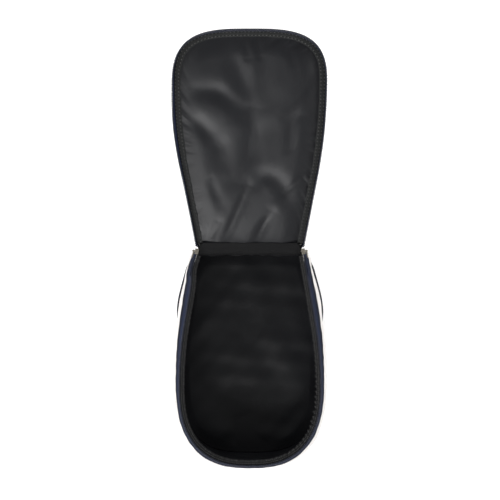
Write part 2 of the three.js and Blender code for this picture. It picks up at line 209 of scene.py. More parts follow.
def lid_place(stations, inset, h):
    """World points, in mm, round the lid's edge. Its left zip tape leans outwards a little."""
    stations, inset, h = np.broadcast_arrays(stations, inset, h)
    points, normals = OUTLINES["lid"]
    flat = points[stations % STATIONS]
    height = np.clip((h - LID_TAPE[0]) / (LID_TAPE[1] - LID_TAPE[0]), 0, 1)
    left = np.clip((-flat[..., 0] - 20) / 40, 0, 1)
    lean = 3.0 * left * height * np.exp(-(((flat[..., 1] - 195) / 80) ** 2))
    flat = flat + (inset - lean)[..., None] * normals[stations % STATIONS]
    return lid_world(flat[..., 0], flat[..., 1], h)


# ---- noise ------------------------------------------------------------------------------------

def ripple(x, y, size, seed):
    """Smooth seeded noise of about -1 to 1, with features of about the given size in mm."""
    waves = 9
    draw = np.random.RandomState(seed)
    total = 0
    for _ in range(waves):
        angle = draw.uniform(0, math.pi)
        pitch = size * draw.uniform(0.7, 1.9)
        phase = draw.uniform(0, 2 * math.pi)
        along = x * math.cos(angle) + y * math.sin(angle)
        total = total + np.sin(2 * math.pi * along / pitch + phase)
    return total / math.sqrt(waves)


# ---- mesh building ------------------------------------------------------------------------------

def put(name, body, material, mesh, nodes=()):
    """Adds a piece that rides on a body (None if it is blended) and stands for CAD nodes."""
    mesh.name = name
    obj = bpy.data.objects.new(name, mesh)
    bpy.context.scene.collection.objects.link(obj)
    mesh.materials.append(material)
    for polygon in mesh.polygons:
        polygon.use_smooth = True
    if body:
        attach(obj, body)
    if nodes:
        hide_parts(*nodes)
    return obj


def mesh_from(vertices, faces, face_uvs=None):
    mesh = bpy.data.meshes.new("mesh")
    mesh.from_pydata((np.asarray(vertices) * MM).tolist(), [], faces)
    if face_uvs is not None:
        layer = mesh.uv_layers.new(name="weave")
        layer.data.foreach_set("uv", np.asarray(face_uvs, dtype=np.float32).ravel())
    mesh.validate()
    mesh.update()
    return mesh


def grid_mesh(points, closed=False):
    """A tube over an (n, m, 3) grid in mm: n sections of m points. closed joins its two ends."""
    n, m = points.shape[:2]
    step_i = np.linalg.norm(np.diff(points[:, 0], axis=0), axis=1)
    middle = points[n // 2]
    step_j = np.linalg.norm(np.roll(middle, -1, axis=0) - middle, axis=1)
    u_at = np.concatenate([[0], np.cumsum(step_i), [step_i.sum() + step_i[-1]]])
    v_at = np.concatenate([[0], np.cumsum(step_j)])
    rows = n if closed else n - 1
    i, j = np.meshgrid(np.arange(rows), np.arange(m), indexing="ij")
    i, j = i.ravel(), j.ravel()
    corners = [(i, j), (i + 1, j), (i + 1, j + 1), (i, j + 1)]
    quads = np.column_stack([(a % n) * m + b % m for a, b in corners])
    uvs = np.stack([np.column_stack([u_at[a], v_at[b]]) for a, b in corners], axis=1)
    faces = quads.tolist()
    uvs = uvs.reshape(-1, 2)
    if not closed:
        faces.append(list(range(m)))
        faces.append([(n - 1) * m + k for k in reversed(range(m))])
        cap = np.column_stack([v_at[:m], np.zeros(m)])
        uvs = np.vstack([uvs, cap, cap[::-1]])
    return face_out(mesh_from(points.reshape(-1, 3), faces, uvs))


def face_out(mesh):
    """Turns a closed mesh's faces outwards."""
    mesh.calc_loop_triangles()
    co = np.empty(len(mesh.vertices) * 3)
    mesh.vertices.foreach_get("co", co)
    co = co.reshape(-1, 3)
    tri = np.array([t.vertices[:] for t in mesh.loop_triangles])
    a, b, c = co[tri[:, 0]], co[tri[:, 1]], co[tri[:, 2]]
    if np.einsum("ij,ij->i", a, np.cross(b, c)).sum() < 0:
        mesh.flip_normals()
    return mesh


def strip_section(centre, thickness):
    """Closed section of a sheet along a centre line of (inset, z) points, with round edges."""
    centre = np.asarray(centre, float)
    tangent = np.gradient(centre, axis=0)
    tangent /= np.linalg.norm(tangent, axis=1, keepdims=True)
    normal = np.column_stack([-tangent[:, 1], tangent[:, 0]])
    half = thickness / 2
    turns = np.linspace(0, math.pi, 5)[1:-1]
    far = [centre[-1] + half * (math.cos(t) * normal[-1] + math.sin(t) * tangent[-1]) for t in turns]
    near = [centre[0] - half * (math.cos(t) * normal[0] + math.sin(t) * tangent[0]) for t in turns]
    return np.vstack([centre + half * normal, far, (centre - half * normal)[::-1], near])


def densify(points, step):
    """The same open line with points about `step` apart."""
    points = np.asarray(points, float)
    arc = np.concatenate([[0], np.cumsum(np.linalg.norm(np.diff(points, axis=0), axis=1))])
    count = max(3, int(round(arc[-1] / step)) + 1)
    even = np.linspace(0, arc[-1], count)
    return np.column_stack([np.interp(even, arc, points[:, k]) for k in range(points.shape[1])])


def smooth_line(points, step):
    """A Catmull-Rom curve through the points, about `step` apart."""
    points = np.asarray(points, float)
    padded = np.vstack([2 * points[0] - points[1], points, 2 * points[-1] - points[-2]])
    pieces = []
    t = np.linspace(0, 1, 16, endpoint=False)[:, None]
    for a, b, c, d in zip(padded, padded[1:], padded[2:], padded[3:]):
        pieces.append(0.5 * (2 * b + (c - a) * t + (2 * a - 5 * b + 4 * c - d) * t**2
                             + (3 * b - a - 3 * c + d) * t**3))
    return densify(np.vstack([*pieces, points[-1:]]), step)


def swept(place, section, stations, closed=False, wobble=None):
    """Carries a section of (inset, height) points round an outline. wobble may change it."""
    stations = np.asarray(stations)[:, None]
    inset = np.repeat(section[None, :, 0], len(stations), axis=0)
    height = np.repeat(section[None, :, 1], len(stations), axis=0)
    if wobble is not None:
        inset, height = wobble(stations * ARC_STEP, inset, height)
    return grid_mesh(place(stations, inset, height), closed)


def cord_section(inset, height):
    turn = np.linspace(0, 2 * math.pi, 16, endpoint=False)
    return np.column_stack([inset + PIPING_RADIUS * np.cos(turn),
                            height + PIPING_RADIUS * np.sin(turn)])


def tube_mesh(path, radius, sides, flatten):
    """A round tube along world points in mm. flatten gives a (wide, thick) factor at each point."""
    path = np.asarray(path, float)
    tangent = np.gradient(path, axis=0)
    tangent /= np.linalg.norm(tangent, axis=1, keepdims=True)
    across = np.cross(tangent[0], (0.0, 1.0, 0.0))
    across /= np.linalg.norm(across)
    rings = []
    turn = np.linspace(0, 2 * math.pi, sides, endpoint=False)[:, None]
    for point, direction, (wide, thick) in zip(path, tangent, flatten):
        across = across - direction * across.dot(direction)
        across /= np.linalg.norm(across)
        up = np.cross(direction, across)
        rings.append(point + radius * (wide * np.cos(turn) * across + thick * np.sin(turn) * up))
    return grid_mesh(np.array(rings))


def capsules(centres, directions, ups, length, radius):
    """One mesh of many small stitches or teeth: round-ended rods at the centres."""
    sides = 6
    turn = np.linspace(0, 2 * math.pi, sides, endpoint=False)
    profile = [(-0.5, 0.35), (-0.38, 0.9), (0, 1.0), (0.38, 0.9), (0.5, 0.35)]
    ring = np.array([[x, y * math.cos(t), y * math.sin(t)] for x, y in profile for t in turn])
    ring = ring * (length, radius, radius)
    faces = []
    for row in range(len(profile) - 1):
        for k in range(sides):
            a, b = row * sides + k, row * sides + (k + 1) % sides
            faces.append((a, b, b + sides, a + sides))
    faces.append(tuple(reversed(range(sides))))
    last = (len(profile) - 1) * sides
    faces.append(tuple(last + k for k in range(sides)))
    directions = directions / np.linalg.norm(directions, axis=1, keepdims=True)
    side_axes = np.cross(ups, directions)
    side_axes /= np.linalg.norm(side_axes, axis=1, keepdims=True)
    up_axes = np.cross(directions, side_axes)
    basis = np.stack([directions, side_axes, up_axes], axis=1)
    vertices = np.einsum("vk,nkj->nvj", ring, basis) + centres[:, None, :]
    count = len(ring)
    every = [tuple(n * count + k for k in face) for n in range(len(centres)) for face in faces]
    return mesh_from(vertices.reshape(-1, 3), every)


def stitches(name, body, thread, line, up, pitch, radius=0.28, share=0.66, lean=0.0):
    """Adds a row of stitches along a line of world points in mm; up is the side they lie on."""
    line = np.asarray(line, float)
    arc = np.concatenate([[0], np.cumsum(np.linalg.norm(np.diff(line, axis=0), axis=1))])
    at = np.arange(pitch / 2, arc[-1], pitch)
    centres = np.column_stack([np.interp(at, arc, line[:, k]) for k in range(3)])
    ahead = np.column_stack([np.interp(at + 0.4, arc, line[:, k]) for k in range(3)])
    behind = np.column_stack([np.interp(at - 0.4, arc, line[:, k]) for k in range(3)])
    directions = ahead - behind
    ups = np.broadcast_to(np.asarray(up, float), centres.shape)
    if lean:
        directions /= np.linalg.norm(directions, axis=1, keepdims=True)
        directions = directions + lean * np.cross(ups, directions)
    put(name, body, thread, capsules(centres, directions, ups, pitch * share, radius))


def square_reach(cells):
    """The two coordinates of a square grid, from -1 to 1, and how far each point is out."""
    side = np.linspace(-1, 1, cells + 1)
    a, b = np.meshgrid(side, side, indexing="ij")
    return a, b, np.maximum(abs(a), abs(b))


def patch_grid(loop, centre, cells):
    """Square grid of 2-D points that fills a closed loop, its rings shrinking to the centre."""
    a, b, reach = square_reach(cells)
    safe = np.where(reach == 0, 1, reach)
    x, y = a / safe, b / safe
    # Position round the square, from the middle of its lower side, counter-clockwise.
    turn = np.select(
        [(y <= -1) & (x >= 0), x >= 1, y >= 1, x <= -1],
        [x / 8, 0.125 + (y + 1) / 8, 0.375 + (1 - x) / 8, 0.625 + (1 - y) / 8],
        0.875 + (x + 1) / 8,
    )
    where = turn * len(loop)
    closed = np.vstack([loop, loop[:1]])
    index = np.arange(len(closed))
    edge = np.stack([np.interp(where, index, closed[:, k]) for k in (0, 1)], axis=-1)
    return centre + reach[..., None] * (edge - centre)


def panel_grid(name, inset, cells):
    """The coordinates of a square grid of points that fills an outline moved inwards."""
    loop, normals = OUTLINES[name]
    grid = patch_grid(loop + inset * normals, PANEL_CENTRE, cells)
    return grid[..., 0], grid[..., 1]


def panel_mesh(points):
    """An open sheet over a square grid of world points in mm, with its UVs in mm."""
    n, m = points.shape[:2]
    i, j = np.meshgrid(np.arange(n - 1), np.arange(m - 1), indexing="ij")
    i, j = i.ravel(), j.ravel()
    quads = np.column_stack([i * m + j, (i + 1) * m + j, (i + 1) * m + j + 1, i * m + j + 1])
    flat = points.reshape(-1, 3)
    uvs = flat[quads.ravel()][:, :2]
    return mesh_from(flat, quads.tolist(), uvs)


def thicken(obj, thickness, subdivide=0):
    """Gives a sheet its thickness, half to each side, and rounds it off by subdivision."""
    if subdivide:
        rounding = obj.modifiers.new("rounding", "SUBSURF")
        rounding.levels = rounding.render_levels = subdivide
    solid = obj.modifiers.new("thickness", "SOLIDIFY")
    solid.thickness = thickness * MM
    solid.offset = 0


# ---- materials --------------------------------------------------------------------------------

class Shader:
    """Small helper that builds one Principled material node by node."""

    def __init__(self, name, color, roughness, metallic=0.0, **sockets):
        self.material = bpy.data.materials.new(name)
        self.material.use_nodes = True
        self.tree = self.material.node_tree
        self.tree.nodes.clear()
        self.output = self.tree.nodes.new("ShaderNodeOutputMaterial")
        self.surface = self.tree.nodes.new("ShaderNodeBsdfPrincipled")
        self.tree.links.new(self.surface.outputs[0], self.output.inputs[0])
        self.color = color
        self.surface.inputs["Base Color"].default_value = (*color, 1)
        self.surface.inputs["Roughness"].default_value = roughness
        self.surface.inputs["Metallic"].default_value = metallic
        for socket, value in sockets.items():
            self.surface.inputs[socket.replace("_", " ")].default_value = value

    def link(self, a, b):
        self.tree.links.new(a, b)

    def node(self, kind, **settings):
        made = self.tree.nodes.new(kind)
        for key, value in settings.items():
            if hasattr(made, key):
                setattr(made, key, value)
            else:
                made.inputs[key.replace("_", " ")].default_value = value
        return made

    def math(self, operation, a, b=None):
        made = self.node("ShaderNodeMath", operation=operation)
        for socket, value in zip(made.inputs, (a, b)):
            if value is None:
                continue
            if isinstance(value, (int, float)):
                socket.default_value = value
            else:
                self.link(value, socket)
        return made.outputs[0]

    def uv(self):
        made = self.node("ShaderNodeUVMap", uv_map="weave")
        split = self.node("ShaderNodeSeparateXYZ")
        self.link(made.outputs[0], split.inputs[0])
        return split.outputs[0], split.outputs[1]

    def place(self):
        return self.node("ShaderNodeTexCoord").outputs["Object"]

    def noise(self, scale, detail=4.0, roughness=0.6):
        made = self.node("ShaderNodeTexNoise", Scale=scale, Detail=detail, Roughness=roughness)
        self.link(self.place(), made.inputs["Vector"])
        return made.outputs[0]

    def cells(self, scale, **settings):
        made = self.node("ShaderNodeTexVoronoi", Scale=scale, **settings)
        self.link(self.place(), made.inputs["Vector"])
        return made.outputs[0]

    def mixed(self, a, share, b):
        """A share of a and the rest of b."""
        return self.math("ADD", self.math("MULTIPLY", a, share), self.math("MULTIPLY", b, 1 - share))

    def slanted(self, a, b, slope):
        """A coordinate that runs along a, and along b by its slope."""
        return self.math("ADD", a, self.math("MULTIPLY", b, slope))

    def wave(self, along, pitch):
        """Rises and falls from 0 to 1 once each pitch, along a value in mm."""
        angle = self.math("MULTIPLY", along, 2 * math.pi / pitch)
        return self.math("ADD", self.math("MULTIPLY", self.math("SINE", angle), 0.5), 0.5)

    def tint(self, factor, dark, light):
        """Base colour between two factors of the material's colour."""
        ramp = self.node("ShaderNodeMix", data_type="RGBA")
        self.link(factor, ramp.inputs[0])
        ramp.inputs[6].default_value = (*[c * dark for c in self.color], 1)
        ramp.inputs[7].default_value = (*[min(1, c * light) for c in self.color], 1)
        self.link(ramp.outputs[2], self.surface.inputs["Base Color"])
        return ramp

    def rough(self, factor, smooth, coarse):
        ramp = self.node("ShaderNodeMapRange")
        self.link(factor, ramp.inputs[0])
        ramp.inputs[3].default_value = smooth
        ramp.inputs[4].default_value = coarse
        self.link(ramp.outputs[0], self.surface.inputs["Roughness"])

    def bump(self, *layers):
        """Stacks bumps: each layer is (height output, strength, depth in mm)."""
        previous = None
        for height, strength, depth in layers:
            bump = self.node("ShaderNodeBump", Strength=strength, Distance=depth * MM)
            self.link(height, bump.inputs["Height"])
            if previous is not None:
                self.link(previous, bump.inputs["Normal"])
            previous = bump.outputs[0]
        self.link(previous, self.surface.inputs["Normal"])


def satin_material():
    s = Shader("lining_satin", (0.0062, 0.0066, 0.0088), 0.38, Specular_IOR_Level=0.5)
    across, along = s.uv()
    twill = s.wave(s.slanted(across, along, 0.45), 0.85)
    cloud = s.noise(26.0, 3.0)
    s.tint(s.mixed(twill, 0.45, cloud), 0.72, 1.3)
    s.rough(cloud, 0.34, 0.42)
    s.bump((twill, 0.25, 0.1), (s.noise(420.0, 2.0), 0.1, 0.12))
    return s.material


def grosgrain_material(name, color):
    s = Shader(name, color, 0.85, Specular_IOR_Level=0.2)
    ribs = s.wave(s.uv()[0], 1.0)
    s.tint(s.mixed(ribs, 0.6, s.noise(60.0)), 0.55, 1.35)
    s.bump((ribs, 0.5, 0.3), (s.noise(900.0, 2.0), 0.3, 0.15))
    return s.material


def zip_tape_material():
    s = Shader("zip_tape_twill", (0.013, 0.019, 0.046), 0.75, Specular_IOR_Level=0.25)
    along, across = s.uv()
    herring = s.wave(s.slanted(along, across, 1.3), 3.4)
    yarn = s.wave(across, 0.9)
    weave = s.mixed(herring, 0.8, yarn)
    # Painted shade: the tape's colour is darkened over the first 2 to 4 mm round its section, where it rises
    # from the seam.
    painted_root_shade = s.node("ShaderNodeMapRange", interpolation_type="SMOOTHSTEP", From_Min=2.0, From_Max=4.0)
    s.link(across, painted_root_shade.inputs[0])
    s.tint(s.math("MULTIPLY", weave, painted_root_shade.outputs[0]), 0.35, 1.6)
    s.bump((herring, 0.6, 0.35), (yarn, 0.25, 0.15))
    return s.material


def twill_material(name, color):
    s = Shader(name, color, 0.78, Specular_IOR_Level=0.22)
    across, along = s.uv()
    twill = s.wave(s.math("ADD", across, along), 1.1)
    s.tint(s.mixed(twill, 0.6, s.noise(35.0)), 0.6, 1.4)
    s.bump((twill, 0.5, 0.25), (s.noise(700.0, 2.0), 0.25, 0.15))
    return s.material


def piping_material():
    s = Shader("piping_navy", (0.01, 0.012, 0.024), 0.55, Specular_IOR_Level=0.35)
    along, around = s.uv()
    wrap = s.wave(s.slanted(along, around, 0.6), 1.3)
    s.tint(s.mixed(wrap, 0.5, s.noise(80.0)), 0.6, 1.4)
    s.bump((wrap, 0.35, 0.2), (s.noise(500.0, 2.0), 0.2, 0.15))
    return s.material


def leatherette_material():
    s = Shader("leatherette_white", (0.72, 0.695, 0.675), 0.46, Specular_IOR_Level=0.4)
    pebble = s.cells(620.0, feature="SMOOTH_F1")
    cloud = s.noise(18.0, 5.0)
    s.tint(s.mixed(pebble, 0.35, cloud), 0.93, 1.03)
    s.rough(cloud, 0.38, 0.56)
    s.bump((pebble, 0.35, 0.35), (s.noise(240.0, 6.0, 0.65), 0.3, 0.3))
    return s.material


def foam_material():
    s = Shader("foam_grey", (0.3, 0.3, 0.29), 0.95)
    cells = s.cells(900.0)
    s.tint(cells, 0.6, 1.2)
    s.bump((cells, 0.8, 0.5))
    return s.material


def board_material():
    s = Shader("board_black", (0.03, 0.03, 0.031), 0.5)
    cloud = s.noise(90.0, 5.0)
    s.tint(cloud, 0.7, 1.4)
    s.rough(cloud, 0.4, 0.62)
    s.bump((s.noise(1500.0, 2.0), 0.3, 0.1))
    return s.material


def webbing_material():
    s = Shader("webbing_navy", (0.014, 0.018, 0.034), 0.7, Specular_IOR_Level=0.3)
    along, across = s.uv()
    ribs = s.wave(across, 1.6)
    picks = s.wave(s.slanted(along, across, 0.5), 1.2)
    s.tint(s.mixed(ribs, 0.5, picks), 0.5, 1.5)
    s.bump((ribs, 0.5, 0.35), (picks, 0.4, 0.25))
    return s.material


def coil_material():
    s = Shader("zip_coil_nylon", (0.012, 0.014, 0.024), 0.4, Specular_IOR_Level=0.35)
    s.tint(s.noise(300.0, 3.0), 0.6, 1.6)
    s.bump((s.noise(1200.0, 2.0), 0.2, 0.1))
    return s.material


def thread_material(name, color):
    s = Shader(name, color, 0.65, Specular_IOR_Level=0.3)
    s.tint(s.noise(800.0, 3.0), 0.6, 1.4)
    s.bump((s.noise(2500.0, 2.0), 0.5, 0.1))
    return s.material


def nickel_material():
    s = Shader("nickel_pale", (0.8, 0.74, 0.63), 0.26, metallic=1.0)
    scuff = s.noise(260.0, 6.0, 0.7)
    s.tint(scuff, 0.82, 1.08)
    s.rough(scuff, 0.16, 0.36)
    s.bump((s.noise(900.0, 3.0), 0.12, 0.08))
    return s.material


SATIN = satin_material()
GROSGRAIN = grosgrain_material("binding_grosgrain", (0.031, 0.032, 0.032))
RIM_GROSGRAIN = grosgrain_material("binding_grosgrain_rim", (0.015, 0.015, 0.0155))
ZIP_TAPE = zip_tape_material()
NAVY_CLOTH = twill_material("back_cloth_twill", (0.014, 0.018, 0.036))
# The hinge lining is a duller, slightly darker copy of the black lining cloth: painted shade for the fold at the
# hinge.
HINGE_SHADE_CLOTH = twill_material("hinge_twill_painted_shade", (0.0055, 0.0055, 0.006))
PIPING = piping_material()
LEATHERETTE = leatherette_material()
FOAM = foam_material()
BOARD = board_material()
WEBBING = webbing_material()
COIL = coil_material()
DARK_THREAD = thread_material("thread_dark", (0.004, 0.004, 0.004))
GREY_THREAD = thread_material("thread_grey", (0.11, 0.11, 0.108))
WHITE_THREAD = thread_material("thread_white", (0.8, 0.78, 0.75))
NAVY_THREAD = thread_material("thread_navy", (0.03, 0.036, 0.07))
NICKEL = nickel_material()

# ---- camera, light and floor --------------------------------------------------------------------

CAMERA_HEIGHT = 1600
PLANE_WIDTH = 750
DOME = 0.19
HORIZON_BAND = (0.1, 0.4)
FLOOR_HALF = 9


def make_camera():
    """Straight above the hinge line, with the body towards the bottom of the picture."""
    data = bpy.data.cameras.new("camera")
    data.sensor_width = 36
    data.lens = data.sensor_width * CAMERA_HEIGHT / PLANE_WIDTH
    data.dof.use_dof = False
    camera = bpy.data.objects.new("camera", data)
    camera.location = (HINGE + (0, 0, CAMERA_HEIGHT)) * MM
    bpy.context.scene.collection.objects.link(camera)
    bpy.context.scene.camera = camera


def area_light(name, location, size, energy, target=(0, 0, 0.1)):
    data = bpy.data.lights.new(name, "AREA")
    data.shape = "RECTANGLE"
    data.size, data.size_y = size
    data.energy = energy
    light = bpy.data.objects.new(name, data)
    light.location = location
    aim = Vector(target) - Vector(location)
    light.rotation_euler = aim.to_track_quat("-Z", "Y").to_euler()
    bpy.context.scene.collection.objects.link(light)


def make_studio():
    scene = bpy.context.scene
    scene.view_settings.view_transform = "Standard"
    world = bpy.data.worlds.new("studio")
    world.use_nodes = True
    nodes, links = world.node_tree.nodes, world.node_tree.links
    direction = nodes.new("ShaderNodeTexCoord")
    split = nodes.new("ShaderNodeSeparateXYZ")
    height = nodes.new("ShaderNodeMapRange")
    height.interpolation_type = "SMOOTHSTEP"
    for socket, value in zip(height.inputs[1:5], (HORIZON_BAND[0], HORIZON_BAND[1], 1.0, DOME)):
        socket.default_value = value
    links.new(direction.outputs["Generated"], split.inputs[0])
    links.new(split.outputs[2], height.inputs[0])
    links.new(height.outputs[0], nodes["Background"].inputs[1])
    nodes["Background"].inputs[0].default_value = (1, 1, 1, 1)
    scene.world = world
    area_light("key", (-0.6, -1.6, 1.6), (1.1, 0.9), 23, target=(0, 0.15, 0.15))
    area_light("left", (-2.2, -0.1, 1.4), (1.6, 1.0), 34)
    area_light("right", (2.2, -0.1, 1.4), (1.6, 1.0), 34)
    area_light("back", (0, 2.4, 1.2), (1.6, 0.8), 24)
    side = FLOOR_HALF
    mesh = bpy.data.meshes.new("floor")
    mesh.from_pydata([(-side, -side, 0), (side, -side, 0), (side, side, 0), (-side, side, 0)], [],
                     [(0, 1, 2, 3)])
    floor = bpy.data.objects.new("floor", mesh)
    floor.location.z = -0.0002
    scene.collection.objects.link(floor)
    s = Shader("floor_pale", (0.93, 0.93, 0.93), 0.9, Specular_IOR_Level=0.1,
               Emission_Color=(1, 1, 1, 1))
    s.tint(s.noise(2.0, 2.0), 0.995, 1.0)
    reach = s.node("ShaderNodeVectorMath", operation="LENGTH")
    s.link(s.place(), reach.inputs[0])
    glow = s.node("ShaderNodeMapRange", interpolation_type="SMOOTHSTEP", From_Min=0.8, From_Max=2.4,
                  To_Min=0.3, To_Max=0.9)
    s.link(reach.outputs["Value"], glow.inputs[0])
    s.link(glow.outputs[0], s.surface.inputs["Emission Strength"])
    mesh.materials.append(s.material)


make_camera()
make_studio()

# ---- places round the outlines --------------------------------------------------------------------

ALL = np.arange(0, STATIONS)
CORNER = station("waist", 15)
ZIP_START = station("zip", 1.5)
SHOULDER = station("waist", 235)


def right_to_left(start):
    """Stations from one side's start, round the curved end, to the other side's."""
    return np.arange(start, STATIONS - start + 1)


def every_other(start, stop):
    """Every other station from start to stop, with stop itself."""
    return np.append(np.arange(start, stop, 2), stop)


def wall_relief(depth, seed):
    """Soft swells on a wall, flat at the handle, and a pull inwards at its two sewn edges."""
    def wobble(along, inset, z):
        swell = depth * ripple(along, z, 90, seed) + 0.25 * depth * ripple(along, z, 24, seed + 1)
        near_top = np.exp(-((np.clip(RIM_Z - z, 0, None) / 4.0) ** 2))
        near_foot = np.exp(-(((z - WALL_Z) / 4.0) ** 2))
        free = 1 - np.exp(-(((along - STATIONS / 2 * ARC_STEP) / 80) ** 4))
        calm = free * (1 - np.maximum(near_top, near_foot))
        bulge = 1.6 * free * np.sin(np.clip((z - WALL_Z) / (RIM_Z - WALL_Z), 0, 1) * math.pi)
        return inset - calm * swell - bulge + 0.5 * near_top + 0.4 * near_foot, z
    return wobble


WALL_RELIEF = wall_relief(0.7, 11)

# ---- body: outer skins, piping and padding ----------------------------------------------------------

def make_wall_skins():
    section = strip_section(densify([(SKIN / 2, WALL_Z), (SKIN / 2, RIM_Z)], 3.0), SKIN)
    spans = {
        "side_skin_right": (CORNER, SHOULDER, "side_panel_right"),
        "side_skin_left": (STATIONS - SHOULDER, STATIONS - CORNER, "side_panel_left"),
        "end_skin": (SHOULDER, STATIONS - SHOULDER, "end_panel"),
    }
    for name, (start, stop, node) in spans.items():
        stations = every_other(start, stop)
        mesh = swept(body_place, section, stations, wobble=WALL_RELIEF)
        skin = put(name, "body", LEATHERETTE, mesh, [node])
    rows = densify([(SKIN / 2, WALL_Z), (SKIN / 2, high("base_panel", 2))], 3.0)
    stations = np.arange(-CORNER, CORNER + 1)
    mesh = swept(body_place, strip_section(rows, SKIN), stations, wobble=wall_relief(0.5, 17))
    skin = put("base_skin", "body", LEATHERETTE, mesh, ["base_panel"])


def make_wall_stitches():
    """Double top-stitching beside the upright seams, and one row under the zip."""
    for label, start, side in (("right", SHOULDER, 1), ("left", STATIONS - SHOULDER, -1)):
        for index, shift in enumerate((-4, 4)):
            z = np.linspace(WALL_Z + 4, RIM_Z - 3, 60)
            at = np.full(60, start + shift)
            inset, _ = WALL_RELIEF(at * ARC_STEP, np.zeros(60), z)
            stitches(f"seam_stitches_{label}_{index + 1}", "body", WHITE_THREAD,
                     body_place(at, inset, z), (side * 0.8, -0.6, 0), 3.2, 0.3)
    stations = right_to_left(CORNER)
    z = np.full(len(stations), RIM_Z - 3.2)
    inset, _ = WALL_RELIEF(stations * ARC_STEP, np.zeros(len(stations)), z)
    stitches("rim_seam_stitches", "body", WHITE_THREAD,
             body_place(stations, inset + 0.1, z), (0, 0, 1), 3.4, 0.3)


def make_back():
    bottom, top = low("back_panel", 2), high("back_panel", 2)
    mesh = panel_mesh(body_world(*panel_grid("back", 0.2, 60), (bottom + top) / 2))
    sheet = put("back_sheet", "body", NAVY_CLOTH, mesh, ["back_panel"])
    thicken(sheet, top - bottom)
    mesh = swept(body_place, cord_section(0.2, top + 2.3), ALL[::2], closed=True)
    put("back_piping_cord", "body", PIPING, mesh, ["back_piping"])


def make_side_piping():
    """The dark line on each white side: along the waist, then down to the back seam."""
    route = [(19, 92), (40, 88), (70, 84), (92, 76), (108, 58), (120, 34), (128, 12)]
    stations = np.array([station("waist", u) for u, _ in route])
    z = np.array([height for _, height in route], float)
    inset, _ = WALL_RELIEF(stations * ARC_STEP, np.zeros(len(route)), z)
    for label, side in (("right", 1), ("left", -1)):
        line = body_place(stations, inset - 1.1, z)
        line[:, 0] *= side
        path = smooth_line(line, 2.0)
        taper = np.clip(9 - abs(np.linspace(-9, 9, len(path))), 0.25, 1.0)
        mesh = tube_mesh(path, 1.6, 12, np.column_stack([taper, taper]))
        put(f"side_piping_cord_{label}", "body", PIPING, mesh, [f"side_piping_{label}"])


def make_padding():
    rows = densify([(FOAM_INSET, WALL_Z + 0.5), (FOAM_INSET, RIM_Z - 1)], 6.0)
    mesh = swept(body_place, strip_section(rows, 2.6), right_to_left(CORNER + 1)[::3])
    padding = put("wall_padding", "body", FOAM, mesh, ["wall_foam"])
    middle = (low("back_foam", 2) + high("back_foam", 2)) / 2
    mesh = panel_mesh(body_world(*panel_grid("back", LINING_INSET, 40), middle))
    pad = put("back_padding", "body", FOAM, mesh, ["back_foam"])
    thicken(pad, 2.9)


# ---- body: zip, binding and lining --------------------------------------------------------------------

def coil_teeth(place, middle, stations):
    """One side's coil: a row of turns, each a small rod across the edge of the tape."""
    at = np.arange(stations[0], stations[-1], 1.7 / ARC_STEP)
    outer = np.array([place(int(round(s)), -0.9, middle) for s in at])
    inner = np.array([place(int(round(s)), 1.7, middle) for s in at])
    up = place(0, 0, 1) - place(0, 0, 0)
    ups = np.broadcast_to(up, outer.shape)
    return capsules((outer + inner) / 2, inner - outer, ups, 2.9, 0.68)


def make_body_zip():
    centre = densify([(TAPE_INSET, RIM_Z + 0.4), (TAPE_INSET, TAPE_Z)], 0.9)
    stations = right_to_left(ZIP_START)

    def wobble(along, inset, z):
        loose = np.clip((BEND_Z + 1 - z) / 6, 0, 1)
        return inset + 0.25 * loose * ripple(along, 0 * along, 22, 31), z

    mesh = swept(body_place, strip_section(centre, TAPE), stations, wobble=wobble)
    put("body_tape", "body", ZIP_TAPE, mesh, ["body_zip_tape"])
    stitches("body_tape_stitches", "body", NAVY_THREAD,
             body_place(stations, -0.05, RIM_Z + 1.9), (0, 0, 1), 3.0, 0.26)
    mesh = coil_teeth(body_place, (TAPE_Z + 0.3 + COIL_Z) / 2, stations)
    put("body_coil", "body", COIL, mesh, ["body_zip_coil"])


def make_rim_binding():
    """The tape over the raw seam inside the rim, puckered by its stitches."""
    start = np.array([1.6, high("rim_binding", 2) - 0.6])
    reach = np.array([7.3, low("rim_binding", 2) + 0.5]) - start
    centre = densify([start, start + reach], 0.8)
    stations = right_to_left(ZIP_START + 6)
    strongest = station("zip", 250)

    def wobble(along, inset, z):
        depth = np.clip((inset - start[0]) / reach[0], 0, 1)
        at = along / ARC_STEP
        strong = 0.2 + 0.8 * np.exp(-(((at - strongest) / 70) ** 2))
        pucker = strong * (np.sin(2 * math.pi * along / 8.5) + 0.6 * ripple(along, 0 * along, 9, 5))
        return inset + 1.2 * depth * pucker, z + 2.0 * depth * pucker

    mesh = swept(body_place_zip, strip_section(centre, 1.0), stations, wobble=wobble)
    put("rim_binding_tape", "body", RIM_GROSGRAIN, mesh, ["rim_binding"])
    for index, share in enumerate((0.25, 0.75)):
        inset, z = (start + share * reach)[:, None] + np.zeros(len(stations))
        inset, z = wobble(stations * ARC_STEP, inset, z + 0.6)
        stitches(f"rim_binding_stitches_{index + 1}", "body", GREY_THREAD,
                 body_place_zip(stations, inset, z), (0, 0, 1), 3.1, 0.3)


def wall_lining_relief(along, inset, z):
    """The lining hangs a little slack: soft upright folds, and small gathers at the rim. It lies
    flat where the hinge lining covers it."""
    from_hinge = np.minimum(along, STATIONS * ARC_STEP - along)
    covered = np.exp(-((from_hinge / 88) ** 8)) * np.clip((z - 86) / 8, 0, 1)
    height = np.clip((z - FLOOR_LINING_Z) / (RIM_Z - FLOOR_LINING_Z), 0, 1)
    slack = np.sin(height * math.pi) ** 0.8
    folds = ripple(along, z * 0.35, 46, 41) + 0.5 * ripple(along, z * 0.8, 20, 43)
    gathers = np.exp(-(((RIM_Z - z) / 16) ** 2)) * ripple(along, 0 * along, 13, 47)
    swell = 0.5 * np.logaddexp(0, 2 * (1.6 + 1.5 * folds))
    return inset + (1 - covered) * (0.6 + slack * swell + 0.5 * gathers), z


